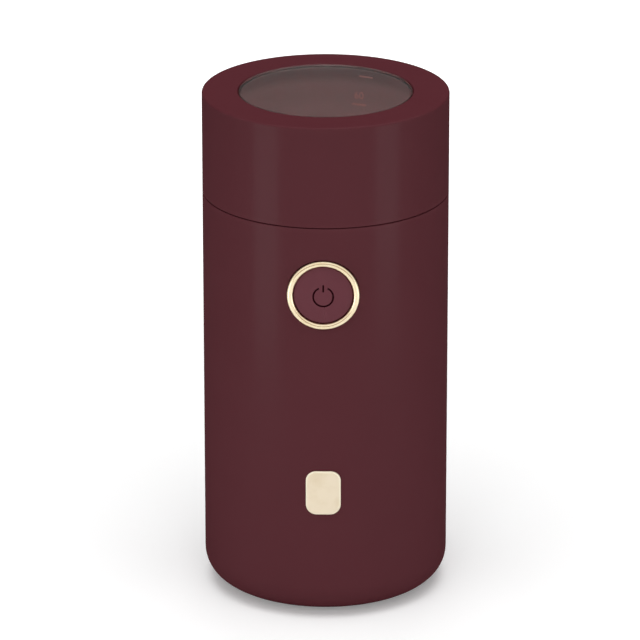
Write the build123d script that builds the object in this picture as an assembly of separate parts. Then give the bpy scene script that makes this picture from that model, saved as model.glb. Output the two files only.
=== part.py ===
from build123d import *
import os
from math import asin, cos, degrees, pi, radians, sin, sqrt

# Electric blade coffee grinder with a push-on lid. Sizes are in millimetres.
# The origin is the middle of the surface that it stands on, +Z is the grinder's
# axis, and the start button faces -Y.

# Overall form
body_diameter = 95.0
overall_height = 200.0
lid_height = 39.7
seam_gap = 0.3
bottom_edge_radius = 11.0
foot_height = 1.5

# Clearances, and the length that a cutting tool runs past the face it cuts
overrun = 2.0
slip = 0.25
press_gap = 0.02
running_gap = 0.05
slide_gap = 0.2

# Body shell: a tall moulded cup with a recess for the base plate
shell_wall = 2.4
rim_wall = 1.4
shell_floor = 2.4
seam_chamfer = 0.25
base_lip = 1.25
leg_seat_margin = 0.6

# Base plate, its feet, vents and screws
base_thickness = 2.2
base_screw_inset = 3.5
base_screw_angle = 28.0
base_screw_grip = 12.0
foot_radius = 4.5
foot_inset = 1.5
foot_recess = 0.7
foot_edge_radius = 0.5
foot_angle = 62.0
vent_count = 10
vent_length = 8.0
vent_width = 1.8
vent_circle = 9.5
board_post_radius = 2.6
board_post_height = 4.0

# Small screws, one size for all the plastic pieces
screw_radius = 1.25
screw_head_radius = 2.6
screw_head_height = 1.6
screw_crown = 0.5
screw_slot_width = 0.7
screw_slot_depth = 0.9
screw_tip = 0.8
screw_end_gap = 0.4

# Bowl carrier: deck, neck, bowl pocket, legs and motor bosses in one moulding
deck_thickness = 3.5
neck_rise = 8.0
pocket_wall = 1.9
carrier_floor = 2.6
carrier_hole_radius = 10.0
leg_radius = 3.4
deck_rib_count = 14
deck_rib_thickness = 1.4
deck_rib_height = 7.0

# Grinding bowl, its shaft seal and the blade
bowl_wall = 0.8
bowl_depth = 25.0
bowl_corner_radius = 12.0
bowl_hole_radius = 7.0
seal_flange = 1.4
seal_lip = 1.2
seal_skirt = 2.2
blade_lift = 1.9
blade_thickness = 1.5
blade_wall_gap = 5.5
blade_width = 13.0
blade_tip_width = 7.0
blade_hub_half = 9.0
blade_bend_angle = 14.0
blade_edge_bevel = 0.9
blade_edge_width = 2.6
collar_radius = 6.0
nut_across_flats = 9.0
nut_hex_height = 3.2
nut_dome_radius = 4.1
nut_dome_height = 3.2
thread_radius = 2.5
thread_length = 3.8

# Lid: outer shell, clear liner whose top is the window, and seal
lid_wall = 2.0
lid_top = 2.5
lid_edge_radius = 0.8
window_inset = 1.5
window_recess = 0.1
window_thickness = 2.4
window_edge = 0.25
liner_wall = 2.0
liner_flange = 2.2
liner_flange_inset = 2.0
liner_corner_radius = 3.0
chamber_inset = 1.4
skirt_gap = 0.5
skirt_lift = 1.0
lid_seal_height = 2.2
lid_seal_inset = 0.3
lid_seal_groove = 0.6
stake_count = 6
stake_radius = 1.5
stake_head_radius = 2.4
stake_head_height = 1.4
rib_half_width = 2.5
rib_lift = 2.0
rib_headroom = 3.0

# Start button and its bezel on the front; depths are measured in from the body's front
button_diameter = 22.5
bezel_width = 2.35
bezel_proud = 1.0
bezel_bite = 0.4
bezel_lead = 0.55
bezel_sleeve_wall = 0.95
bezel_sleeve_depth = 5.1
boss_wall = 2.7
boss_depth = 6.4
button_recess = 0.2
button_face = 1.6
button_edge_radius = 0.4
button_skirt_wall = 1.4
button_flange_thickness = 1.2
button_flange_step = 0.85
button_post_radius = 2.0
button_post_depth = 7.5
button_travel = 1.0
button_spring_radius = 4.6
button_spring_wire = 0.35
button_spring_turns = 4

# Start switch and the bracket that holds it
bracket_gap = 0.4
bracket_headroom = 1.4
bracket_thickness = 1.8
bracket_half_height = 5.5
bracket_wall_gap = 1.8
bracket_end_margin = 3.5
bracket_lip = 1.0
bracket_lip_length = 8.0
ear_radius = 3.0
bracket_screw_grip = 2.8
start_switch_length = 19.8
start_switch_height = 10.2
start_switch_width = 6.4
start_plunger_radius = 1.2
start_plunger_sunk = 1.8
plunger_well_gap = 0.5
tab_width = 3.2
tab_thickness = 0.5
tab_length = 5.0
tab_pitch = 7.0

# Lid interlock: pin, spring and small switch in a tower behind the bowl
pin_offset = 5.0
pin_radius = 1.5
pin_travel = 1.8
pin_stop_gap = 0.2
pin_collar_radius = 2.3
pin_collar_thickness = 1.2
pin_foot_drop = 1.0
pin_spring_length = 6.0
pin_spring_wire = 0.22
pin_spring_turns = 5
tower_gap = 1.2
guide_thickness = 1.8
cheek_thickness = 1.5
shelf_thickness = 1.8
interlock_switch_length = 12.8
interlock_switch_height = 6.5
interlock_switch_width = 5.8
interlock_switch_inset = 0.6
interlock_plunger_radius = 0.8
interlock_plunger_height = 1.2
interlock_plunger_sunk = 2.3

# Motor, hung under the bowl carrier on two rubber bushes. The rotor takes a share of the room
# between the carrier's legs, and the stack and upper columns take shares of the height
# between the carrier and the board.
rotor_share = 0.471
stack_share = 0.183
upper_column_share = 0.0992
mount_boss_radius = 3.8
mount_boss_length = 4.0
mount_screw_gap = 0.9
mount_bush_radius = 4.2
mount_bush_bore = 1.6
mount_bush_thickness = 3.0
mount_screw_grip = 4.5
bracket_plate = 2.5
bracket_plate_width = 15.0
bracket_plate_margin = 5.0
bearing_boss_radius = 8.5
bearing_radius = 6.0
bearing_length = 8.0
bearing_rim = 1.5
shaft_radius = 3.0
column_radius = 3.2
bolt_margin = 0.1
bolt_edge = 2.7
bolt_radius = 1.4
bolt_head_radius = 2.6
bolt_head_height = 2.0
bolt_grip = 9.0
stator_corner_radius = 9.0
air_gap = 0.5
shoe_thickness = 1.8
pole_length = 4.7
yoke_thickness = 3.5
pole_share = 0.565
coil_window_share = 0.522
coil_clearance = 0.3
coil_end_turn = 6.0
coil_corner_radius = 2.5
slot_count = 12
slot_width = 2.2
slot_inner_share = 0.539
slot_tip = 1.1
slot_mouth = 0.8
winding_gap = 0.1
winding_overhang = 7.0
winding_wrap = 0.2
winding_shaft_gap = 1.6
winding_corner_share = 0.333
commutator_wall = 4.5
commutator_length = 12.0
commutator_lift = 3.0
commutator_gap = 4.0
commutator_flange = 1.0
commutator_flange_length = 2.0
commutator_slit_width = 0.5
commutator_slit_depth = 0.9
lower_plate = 3.0
lower_plate_width = 14.0
brush_arm_half_width = 4.6
brush_arm_lead = 0.75
brush_size = 5.0
brush_length = 10.0
brush_gap = 0.1
holder_wall = 0.8
holder_length = 15.5
holder_start = 2.0
brush_spring_radius = 1.9
brush_spring_wire = 0.22
brush_spring_turns = 5
spring_end_gap = 0.1
fan_gap = 1.5
fan_height = 8.0
fan_radius = 17.0
fan_hub_radius = 6.0
fan_disc = 1.2
fan_blade_count = 9
fan_blade_thickness = 1.2
shaft_tail = 1.4

# Circuit board in the foot of the body: shares of the shell's floor opening, and its
# components as shares of the board
board_length_share = 1.4545
board_width_share = 1.091
board_thickness = 1.6
board_hole_inset = 3.5
board_corner_radius = 2.0
board_screw_grip = 3.4
capacitor_length_share = 0.45
capacitor_width_share = 0.267
capacitor_height = 11.0
capacitor_edge_radius = 1.0
terminal_length_share = 0.35
terminal_width_share = 0.283
terminal_height = 9.0
terminal_ways = 3
terminal_hole_share = 0.3
component_margin_share = 0.133

# Cord gland in the back wall
gland_height = 24.0
gland_flange_radius = 7.0
gland_sleeve_radius = 5.5
gland_bore_radius = 3.5
gland_proud = 0.6
gland_seat_depth = 0.9
gland_inner_length = 3.8
gland_clip = 1.2
gland_clip_thickness = 1.2
gland_edge_radius = 0.5

# Plate on the front
badge_width = 13.4
badge_height = 17.9
badge_middle = 53.0
badge_thickness = 0.8
badge_corner_radius = 4.0
badge_edge = 0.3

# Radii worked out from the body's outside inwards
body_radius = body_diameter / 2
shell_inner = body_radius - shell_wall
rim_inner = body_radius - rim_wall
flat_radius = body_radius - bottom_edge_radius
base_radius = flat_radius - base_lip - slip
base_screw_circle = base_radius - base_screw_inset
foot_circle = base_radius - foot_radius - foot_inset
floor_opening_radius = base_screw_circle - leg_radius - leg_seat_margin
service_gap = pin_offset - interlock_switch_inset + interlock_switch_width / 2 + tower_gap
pocket_outer = shell_inner - service_gap
pocket_inner = pocket_outer - pocket_wall
bowl_outer = pocket_inner - slip
bowl_inner = bowl_outer - bowl_wall
lid_inner = body_radius - lid_wall
chamber_radius = pocket_outer - chamber_inset
window_radius = chamber_radius - window_inset
skirt_inner = pocket_outer + skirt_gap
skirt_outer = skirt_inner + liner_wall
flange_outer = lid_inner - liner_flange_inset
stake_circle = (chamber_radius + liner_wall + flange_outer) / 2
pin_place = pocket_outer + pin_offset
pilot_radius = screw_radius + press_gap

# Heights worked out from the seam and the floor
lid_bottom = overall_height - lid_height
body_top = lid_bottom - seam_gap
body_bottom = foot_height
base_top = body_bottom + base_thickness
screw_seat = body_bottom + base_thickness / 2
shell_floor_top = base_top + shell_floor
ledge = body_top - deck_thickness
neck_top = body_top + neck_rise
rim_top = neck_top + bowl_wall
bowl_floor = rim_top - bowl_depth
carrier_top = bowl_floor - bowl_wall
carrier_under = carrier_top - carrier_floor
liner_top = overall_height - window_recess
flange_top = overall_height - lid_top
flange_under = flange_top - liner_flange
chamber_top = liner_top - window_thickness
seal_ledge = rim_top + lid_seal_height
button_middle = carrier_under - bracket_headroom - bracket_half_height

# Board, and the heights left for the motor above it
board_length = floor_opening_radius * board_length_share
board_width = floor_opening_radius * board_width_share
board_bottom = base_top + board_post_height
board_top = board_bottom + board_thickness
board_hole_x = board_length / 2 - board_hole_inset
board_hole_y = board_width / 2 - board_hole_inset
capacitor_length = board_length * capacitor_length_share
capacitor_width = board_width * capacitor_width_share
terminal_length = board_length * terminal_length_share
terminal_width = board_width * terminal_width_share
terminal_pitch = terminal_length / terminal_ways
terminal_hole_radius = terminal_pitch * terminal_hole_share
component_margin = board_width * component_margin_share
motor_bay = carrier_under - board_top
stack_length = motor_bay * stack_share
upper_column_length = motor_bay * upper_column_share
lower_column_length = commutator_lift + commutator_length + commutator_gap + winding_overhang

# Motor widths, from the legs inwards to the rotor and out again from the rotor
motor_room = base_screw_circle * cos(radians(base_screw_angle)) - leg_radius
rotor_radius = motor_room * rotor_share
stator_bore = rotor_radius + air_gap
bolt_half_span = stator_bore + column_radius + bolt_margin
mount_half_span = bolt_half_span + column_radius + screw_head_radius + mount_screw_gap
stator_width = 2 * (bolt_half_span + bolt_edge)
stator_depth = 2 * (stator_bore + shoe_thickness + pole_length + yoke_thickness)
pole_half_width = rotor_radius * pole_share
coil_window_width = rotor_radius * coil_window_share
slot_inner_radius = rotor_radius * slot_inner_share
slot_outer_radius = rotor_radius - slot_tip
winding_inner_radius = shaft_radius + winding_shaft_gap
winding_outer_radius = slot_outer_radius + winding_wrap
winding_corner_radius = (winding_outer_radius - winding_inner_radius) * winding_corner_share
commutator_radius = shaft_radius + commutator_wall

# Motor heights, from the carrier down
bracket_top = carrier_under - mount_boss_length - mount_bush_thickness
bracket_under = bracket_top - bracket_plate
stack_top = bracket_under - upper_column_length
stack_bottom = stack_top - stack_length
lower_top = stack_bottom - lower_column_length
lower_under = lower_top - lower_plate
upper_bearing_low = bracket_under - bearing_rim
lower_bearing_high = lower_top + bearing_rim
lower_bearing_low = lower_bearing_high - bearing_length
holder_half = brush_size / 2 + brush_gap + holder_wall
commutator_low = lower_top + commutator_lift
commutator_middle = commutator_low + (commutator_length - commutator_flange_length) / 2
fan_high = lower_bearing_low - fan_gap
fan_low = fan_high - fan_height
shaft_low = fan_low - shaft_tail
seal_top = bowl_floor + seal_flange + seal_lip
collar_low = seal_top + slide_gap
blade_low = collar_low + blade_lift
blade_high = blade_low + blade_thickness

# Places along Y of the button's pieces
button_radius = button_diameter / 2
bezel_inner = button_radius + slide_gap
bezel_radius = bezel_inner + bezel_width
boss_radius = bezel_radius + boss_wall
sleeve_radius = bezel_inner + bezel_sleeve_wall
bezel_sagitta = body_radius - sqrt(body_radius**2 - bezel_radius**2)
bezel_front = -(body_radius + bezel_proud)
bezel_seat = -(body_radius - bezel_sagitta - bezel_bite)
sleeve_end = -(body_radius - bezel_sleeve_depth)
boss_back = -(body_radius - boss_depth)
button_front = -(body_radius - button_recess)
button_inside = button_front + button_face
button_back = sleeve_end + button_flange_thickness
button_flange_radius = bezel_inner + button_flange_step
post_end = -(body_radius - button_post_depth)
bracket_depth = button_post_depth + button_travel + bracket_gap
bracket_front = -(body_radius - bracket_depth)
bracket_half_length = sqrt(shell_inner**2 - bracket_front**2) - bracket_wall_gap
bracket_back = bracket_front + bracket_thickness
start_switch_back = bracket_back + start_switch_height
ear_place = bracket_half_length - bracket_end_margin

# Heights of the interlock, from the deck down
collar_top = ledge - pin_travel - pin_stop_gap
collar_under = collar_top - pin_collar_thickness
guide_top = collar_under - pin_spring_length
guide_under = guide_top - guide_thickness
pin_foot = guide_under - pin_foot_drop
pin_top = lid_bottom + rib_lift
interlock_top = pin_foot - interlock_plunger_height
interlock_bottom = interlock_top - interlock_switch_height
shelf_bottom = interlock_bottom - shelf_thickness
interlock_place = pin_place - interlock_switch_inset
tower_outer = interlock_place + interlock_switch_width / 2
tower_half_width = interlock_switch_length / 2 + slip + cheek_thickness

ALONG_Z = (Align.CENTER, Align.CENTER, Align.MIN)
CORNER = (Align.MIN, Align.MIN, Align.MIN)


def column(radius, low, high, x=0, y=0):
    """Upright cylinder between two heights."""
    return Pos(x, y, low) * Cylinder(radius, high - low, align=ALONG_Z)


def tube(outer, inner, low, high, x=0, y=0):
    """Upright ring between two heights."""
    bore = column(inner, low - overrun, high + overrun, x, y)
    return column(outer, low, high, x, y) - bore


def plug(radius, near, far, x=0, z=0):
    """Cylinder lying along Y between two places."""
    return Pos(x, near, z) * Rot(X=-90) * Cylinder(radius, far - near, align=ALONG_Z)


def block(x, y, z):
    """Box given as three pairs of low and high."""
    size = Box(x[1] - x[0], y[1] - y[0], z[1] - z[0], align=CORNER)
    return Pos(x[0], y[0], z[0]) * size


def turned(*edges):
    """Solid of revolution about the grinder's axis, from edges of radius and height."""
    return revolve(Plane.XZ * make_face(list(edges)), Axis.Z)


def closed(*points):
    """Closed run of straight edges."""
    return Polyline(*points, close=True)


def round_about(place, angles, shape):
    """Copies of a shape that was made at the axis, at one radius and several angles."""
    return [Rot(Z=angle) * Pos(place, 0, 0) * shape for angle in angles]


def evenly(count, first=0):
    """Angles of an even ring."""
    return [first + index * 360 / count for index in range(count)]


def four_ways(angle):
    """The four angles that mirror one angle in X and in Y."""
    return [angle, 180 - angle, 180 + angle, 360 - angle]


def single(shape):
    """The one solid of a shape."""
    solids = shape.solids()
    if len(solids) != 1:
        raise ValueError(f"expected one solid and found {len(solids)}")
    return solids[0]


def group(shapes):
    """Separate solids that share one node."""
    return Compound(children=[solid for shape in shapes for solid in shape.solids()])


def crown_arc(radius, base, rise):
    """Arc from a rim up to the axis, level where it meets the axis."""
    ball = (radius**2 + rise**2) / (2 * rise)
    half = asin(radius / ball) / 2
    middle = (ball * sin(half), base + rise - ball * (1 - cos(half)))
    return ThreePointArc((radius, base), middle, (0, base + rise))


def screw(length):
    """Pan head screw, head up, with the underside of its head at zero."""
    head = turned(
        Line((0, 0), (screw_head_radius, 0)),
        Line((screw_head_radius, 0), (screw_head_radius, screw_head_height - screw_crown)),
        crown_arc(screw_head_radius, screw_head_height - screw_crown, screw_crown),
        Line((0, screw_head_height), (0, 0)),
    )
    shank = turned(
        closed(
            (0, 0),
            (screw_radius, 0),
            (screw_radius, screw_tip - length),
            (0, -length),
        )
    )
    reach = screw_head_radius * 2 / 3
    slot_low = screw_head_height - screw_slot_depth
    slot = block(
        (-reach, reach),
        (-screw_slot_width / 2, screw_slot_width / 2),
        (slot_low, screw_head_height + overrun),
    )
    return single(head + shank - slot - Rot(Z=90) * slot)


def coil_spring(mean_radius, wire, length, turns):
    """Helix about Z from zero to a length, swept along pairs of tangent arcs."""
    climb = (length - 2 * wire) / turns
    quarters = [index * pi / 2 for index in range(4 * turns + 1)]
    rise = climb / (2 * pi)
    points = [
        Vector(mean_radius * cos(t), mean_radius * sin(t), wire + rise * t) for t in quarters
    ]
    heads = [Vector(-mean_radius * sin(t), mean_radius * cos(t), rise).normalized() for t in quarters]
    arcs = []
    for start, end, head, tail in zip(points, points[1:], heads, heads[1:]):
        span = end - start
        both = head + tail
        square = 2 * (head.dot(tail) - 1)
        middle = 2 * span.dot(both)
        reach = (middle - sqrt(middle**2 - 4 * square * span.dot(span))) / (2 * square)
        meet = (start + head * reach + end - tail * reach) * 0.5
        first = TangentArc(start, meet, tangent=head)
        arcs += [first, TangentArc(meet, end, tangent=first % 1)]
    section = Plane(origin=points[0], z_dir=heads[0]) * Circle(wire)
    print(f"coil spring: gap between turns {climb - 2 * wire:.2f} mm")
    return single(sweep(section, path=Wire(arcs)))


# Body


def body_shell():
    """Tall cup with a rounded foot, a recessed floor ring and the button's boss."""
    edge_height = body_bottom + bottom_edge_radius
    inner_edge = bottom_edge_radius - shell_wall
    drop = edge_height - shell_floor_top
    meet_angle = degrees(asin(drop / inner_edge))
    meet_radius = flat_radius + sqrt(inner_edge**2 - drop**2)
    recess_radius = base_radius + slip
    cup = turned(
        Line((recess_radius, body_bottom), (flat_radius, body_bottom)),
        CenterArc((flat_radius, edge_height), bottom_edge_radius, -90, 90),
        Polyline(
            (body_radius, edge_height),
            (body_radius, body_top - seam_chamfer),
            (body_radius - seam_chamfer, body_top),
            (rim_inner, body_top),
            (rim_inner, ledge),
            (shell_inner, ledge),
            (shell_inner, edge_height),
        ),
        CenterArc((flat_radius, edge_height), inner_edge, 0, -meet_angle),
        Polyline(
            (meet_radius, shell_floor_top),
            (floor_opening_radius, shell_floor_top),
            (floor_opening_radius, base_top),
            (recess_radius, base_top),
            (recess_radius, body_bottom),
        ),
    )
    core = column(body_radius - shell_wall / 2, body_bottom, body_top)
    outside = -(body_radius + bezel_proud + overrun)
    boss = plug(boss_radius, -body_radius, boss_back, 0, button_middle) & core
    ears = [
        plug(ear_radius, -body_radius, bracket_front, side * ear_place, button_middle) & core
        for side in (-1, 1)
    ]
    shell = cup + boss + ears
    shell -= plug(bezel_radius + slip, outside, bezel_seat, 0, button_middle)
    shell -= plug(sleeve_radius + slip, outside, boss_back + overrun, 0, button_middle)
    pilots = [
        plug(
            pilot_radius,
            bracket_front - bracket_screw_grip - screw_end_gap,
            bracket_front + overrun,
            side * ear_place,
            button_middle,
        )
        for side in (-1, 1)
    ]
    gland_seat = body_radius - gland_seat_depth
    back = body_radius + overrun
    shell -= plug(gland_flange_radius + slip, gland_seat, back, 0, gland_height)
    shell -= plug(gland_sleeve_radius + slip, shell_inner - overrun, back, 0, gland_height)
    screw_hole = column(screw_radius + slip, base_top - overrun, shell_floor_top + overrun)
    screw_holes = round_about(base_screw_circle, four_ways(base_screw_angle), screw_hole)
    return single(shell - pilots - screw_holes)


def badge_plate():
    """Plain curved plate that lies on the front of the body."""
    outline = Pos(0, badge_middle) * RectangleRounded(badge_width, badge_height, badge_corner_radius)
    through = extrude(Plane.XZ * outline, body_radius + overrun)
    skin = tube(body_radius + badge_thickness, body_radius, 0, overall_height)
    plate = single(through & skin)
    rim = plate.faces().sort_by(Axis.Y)[0].edges()
    return single(chamfer(rim, badge_edge))


# Base


def base_plate():
    """Round cover with vents, foot recesses, screw seats and board posts."""
    plate = column(base_radius, body_bottom, base_top)
    vent = extrude(
        Pos(0, 0, body_bottom - overrun) * SlotOverall(vent_length, vent_width),
        base_thickness + 2 * overrun,
    )
    plate -= round_about(vent_circle, evenly(vent_count), vent)
    recess = column(foot_radius + slip, body_bottom - overrun, body_bottom + foot_recess)
    plate -= round_about(foot_circle, four_ways(foot_angle), recess)
    screw_hole = column(screw_radius + slip, body_bottom - overrun, base_top + overrun)
    seat = column(screw_head_radius + slip, body_bottom - overrun, screw_seat)
    plate -= round_about(base_screw_circle, four_ways(base_screw_angle), screw_hole + seat)
    for x in (-board_hole_x, board_hole_x):
        for y in (-board_hole_y, board_hole_y):
            post = column(board_post_radius, base_top - base_thickness / 2, board_bottom, x, y)
            pilot_low = board_bottom - board_screw_grip - screw_end_gap
            plate = plate + post - column(pilot_radius, pilot_low, board_bottom + overrun, x, y)
    return single(plate)


def rubber_feet():
    """Four pads in the base plate's recesses."""
    foot = turned(
        Line((0, 0), (foot_radius - foot_edge_radius, 0)),
        CenterArc((foot_radius - foot_edge_radius, foot_edge_radius), foot_edge_radius, -90, 90),
        Polyline(
            (foot_radius, foot_edge_radius),
            (foot_radius, body_bottom + foot_recess),
            (0, body_bottom + foot_recess),
            (0, 0),
        ),
    )
    return group(round_about(foot_circle, four_ways(foot_angle), foot))


def base_screws():
    """Four screws from below, through the base and the shell into the carrier's legs."""
    length = base_top - screw_seat + shell_floor + base_screw_grip
    upright = Pos(0, 0, screw_seat) * Rot(X=180) * screw(length)
    return group(round_about(base_screw_circle, four_ways(base_screw_angle), upright))


def cord_gland():
    """Bush in the back wall, held by a clip ring inside."""
    seat = body_radius - gland_seat_depth
    face = body_radius + gland_proud
    clip_far = shell_inner - gland_clip
    inner_end = seat - gland_inner_length
    flange = plug(gland_flange_radius, seat, face, 0, gland_height)
    flange = fillet(flange.faces().sort_by(Axis.Y)[-1].edges(), gland_edge_radius)
    sleeve = plug(gland_sleeve_radius, inner_end, seat, 0, gland_height)
    clip = plug(gland_flange_radius, clip_far - gland_clip_thickness, clip_far, 0, gland_height)
    bore = plug(gland_bore_radius, inner_end - overrun, face + overrun, 0, gland_height)
    return single(flange + sleeve + clip - bore)


# Circuit board


def circuit_board():
    """Board on the base plate's posts."""
    board = extrude(
        Pos(0, 0, board_bottom) * RectangleRounded(board_length, board_width, board_corner_radius),
        board_thickness,
    )
    for x in (-board_hole_x, board_hole_x):
        for y in (-board_hole_y, board_hole_y):
            board -= column(screw_radius + slip, board_bottom - overrun, board_top + overrun, x, y)
    return single(board)


def board_screws():
    """Four screws that hold the board on its posts."""
    return group(
        Pos(x, y, board_top) * screw(board_thickness + board_screw_grip)
        for x in (-board_hole_x, board_hole_x)
        for y in (-board_hole_y, board_hole_y)
    )


def suppressor_capacitor():
    """Boxed capacitor across the supply."""
    middle = board_width / 2 - component_margin - capacitor_width / 2
    body = extrude(
        Pos(0, -middle, board_top) * Rectangle(capacitor_length, capacitor_width), capacitor_height
    )
    return single(fillet(body.faces().sort_by(Axis.Z)[-1].edges(), capacitor_edge_radius))


def terminal_block():
    """Three way block that the leads are screwed into."""
    middle = board_width / 2 - component_margin - terminal_width / 2
    body = extrude(
        Pos(0, middle, board_top) * Rectangle(terminal_length, terminal_width), terminal_height
    )
    for way in range(terminal_ways):
        x = (way - (terminal_ways - 1) / 2) * terminal_pitch
        body -= plug(
            terminal_hole_radius,
            middle,
            middle + terminal_width,
            x,
            board_top + terminal_height / 3,
        )
        body -= column(
            terminal_hole_radius,
            board_top + terminal_height / 2,
            board_top + terminal_height + overrun,
            x,
            middle,
        )
    return single(body)


# Bowl carrier and bowl


def interlock_tower():
    """Cheeks, spring guide and switch shelf that hang from the carrier's deck at the back."""
    half = tower_half_width
    inner_half = half - cheek_thickness
    depth = (0, tower_outer)
    cheeks = [
        block((low, low + cheek_thickness), depth, (shelf_bottom, ledge)) for low in (-half, inner_half)
    ]
    guide = block((-half, half), depth, (guide_under, guide_top))
    guide -= column(pin_radius + slide_gap, guide_under - overrun, guide_top + overrun, 0, pin_place)
    shelf = block((-half, half), depth, (shelf_bottom, interlock_bottom))
    hollow = column(pocket_outer - pocket_wall / 2, shelf_bottom - overrun, ledge + overrun)
    return guide + shelf + cheeks - hollow


def bowl_carrier():
    """Black frame that carries the bowl above and the motor below, on four legs."""
    form = turned(
        closed(
            (carrier_hole_radius, carrier_under),
            (pocket_outer, carrier_under),
            (pocket_outer, ledge),
            (rim_inner - slip, ledge),
            (rim_inner - slip, body_top),
            (pocket_outer, body_top),
            (pocket_outer, neck_top),
            (pocket_inner, neck_top),
            (pocket_inner, carrier_top),
            (carrier_hole_radius, carrier_top),
        )
    )
    rib = block(
        (pocket_outer - pocket_wall / 2, shell_inner - slip),
        (-deck_rib_thickness / 2, deck_rib_thickness / 2),
        (ledge - deck_rib_height, ledge),
    )
    boss_angle = degrees(asin((boss_radius + deck_rib_thickness) / shell_inner))
    rib_angles = [
        angle
        for angle in evenly(deck_rib_count)
        if abs(angle - 90) > 360 / deck_rib_count and abs(angle - 270) > boss_angle
    ]
    ribs = [Rot(Z=angle) * rib for angle in rib_angles]
    leg = column(leg_radius, shell_floor_top, carrier_top)
    pilot_top = shell_floor_top + base_screw_grip + screw_end_gap
    pilot = column(pilot_radius, shell_floor_top - overrun, pilot_top)
    legs = round_about(base_screw_circle, four_ways(base_screw_angle), leg)
    pilots = round_about(base_screw_circle, four_ways(base_screw_angle), pilot)
    boss_low = carrier_under - mount_boss_length
    bosses = [
        column(mount_boss_radius, boss_low, carrier_top, side * mount_half_span) for side in (-1, 1)
    ]
    boss_pilots = [
        column(
            pilot_radius,
            boss_low - overrun,
            boss_low + mount_screw_grip + screw_end_gap,
            side * mount_half_span,
        )
        for side in (-1, 1)
    ]
    frame = form + ribs + legs + bosses + interlock_tower()
    pin_hole = column(pin_radius + slide_gap, ledge - overrun, body_top + overrun, 0, pin_place)
    return single(frame - pilots - boss_pilots - pin_hole)


def grinding_bowl():
    """Drawn steel cup with a rounded corner and a rim folded over the carrier's neck."""
    corner_middle = (bowl_inner - bowl_corner_radius, bowl_floor + bowl_corner_radius)
    outer_corner = bowl_corner_radius + bowl_wall
    return single(
        turned(
            Line((bowl_hole_radius, bowl_floor), (corner_middle[0], bowl_floor)),
            CenterArc(corner_middle, bowl_corner_radius, -90, 90),
            Polyline(
                (bowl_inner, corner_middle[1]),
                (bowl_inner, rim_top),
                (pocket_outer, rim_top),
                (pocket_outer, neck_top),
                (bowl_outer, neck_top),
                (bowl_outer, corner_middle[1]),
            ),
            CenterArc(corner_middle, outer_corner, 0, -90),
            Polyline(
                (corner_middle[0], carrier_top),
                (bowl_hole_radius, carrier_top),
                (bowl_hole_radius, bowl_floor),
            ),
        )
    )


def shaft_seal():
    """Rubber grommet that grips the bowl's floor round the shaft."""
    bore = shaft_radius + running_gap
    grip = bowl_hole_radius - press_gap
    wide = bowl_hole_radius + seal_flange
    return single(
        turned(
            closed(
                (bore, carrier_top - seal_skirt),
                (wide, carrier_top - seal_skirt),
                (wide, carrier_top),
                (grip, carrier_top),
                (grip, bowl_floor),
                (wide, bowl_floor),
                (wide, bowl_floor + seal_flange / 2),
                (bore + seal_flange, seal_top),
                (bore, seal_top),
            )
        )
    )


# Lid


def lid_shell():
    """Outer cover with the window opening, heat stakes and the interlock rib."""
    top = overall_height
    edge_middle = (body_radius - lid_edge_radius, top - lid_edge_radius)
    cover = turned(
        Line((window_radius, flange_top), (window_radius, top - window_edge)),
        Line((window_radius, top - window_edge), (window_radius + window_edge, top)),
        Line((window_radius + window_edge, top), (edge_middle[0], top)),
        CenterArc(edge_middle, lid_edge_radius, 90, -90),
        Polyline(
            (body_radius, edge_middle[1]),
            (body_radius, lid_bottom + seam_chamfer),
            (body_radius - seam_chamfer, lid_bottom),
            (lid_inner, lid_bottom),
            (lid_inner, flange_top),
            (window_radius, flange_top),
        ),
    )
    stake = column(stake_radius, flange_under, flange_top + lid_top / 2)
    stake += column(stake_head_radius, flange_under - stake_head_height, flange_under)
    rib = block(
        (-rib_half_width, rib_half_width),
        (pin_place - pin_radius, lid_inner + lid_wall / 2),
        (pin_top, flange_under - rib_headroom),
    )
    return single(cover + round_about(stake_circle, evenly(stake_count), stake) + rib)


def lid_liner():
    """Clear cup held under the cover; its raised top is the window and its skirt fits the neck."""
    window = window_radius - slip
    wall_outer = chamber_radius + liner_wall
    corner = (chamber_radius - liner_corner_radius, chamber_top - liner_corner_radius)
    cup = turned(
        Polyline(
            (0, chamber_top),
            (0, liner_top),
            (window - window_edge, liner_top),
            (window, liner_top - window_edge),
            (window, flange_top),
            (flange_outer, flange_top),
            (flange_outer, flange_under),
            (wall_outer, flange_under),
            (wall_outer, seal_ledge + 2 * liner_wall),
            (skirt_outer, seal_ledge + liner_wall),
            (skirt_outer, body_top + skirt_lift),
            (skirt_inner, body_top + skirt_lift),
            (skirt_inner, seal_ledge),
            (chamber_radius, seal_ledge),
            (chamber_radius, corner[1]),
        ),
        CenterArc(corner, liner_corner_radius, 0, 90),
        Line((corner[0], chamber_top), (0, chamber_top)),
    )
    hole = column(stake_radius + press_gap, flange_under - overrun, flange_top + overrun)
    return single(cup - round_about(stake_circle, evenly(stake_count), hole))


def lid_seal():
    """Silicone ring under the liner's ledge, with a groove in the face that meets the bowl."""
    outer = skirt_inner - lid_seal_inset
    inner = chamber_radius - lid_seal_inset
    ring = tube(outer, inner, rim_top, seal_ledge)
    middle = (outer + inner) / 2
    groove = lid_seal_groove / 2
    groove_top = rim_top + lid_seal_groove
    return single(ring - tube(middle + groove, middle - groove, rim_top - overrun, groove_top))


# Start button


def about_button(shape):
    """Turns a shape made about Z, at the axis, to lie along Y at the button's middle."""
    return Pos(0, 0, button_middle) * Rot(X=-90) * shape


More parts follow.
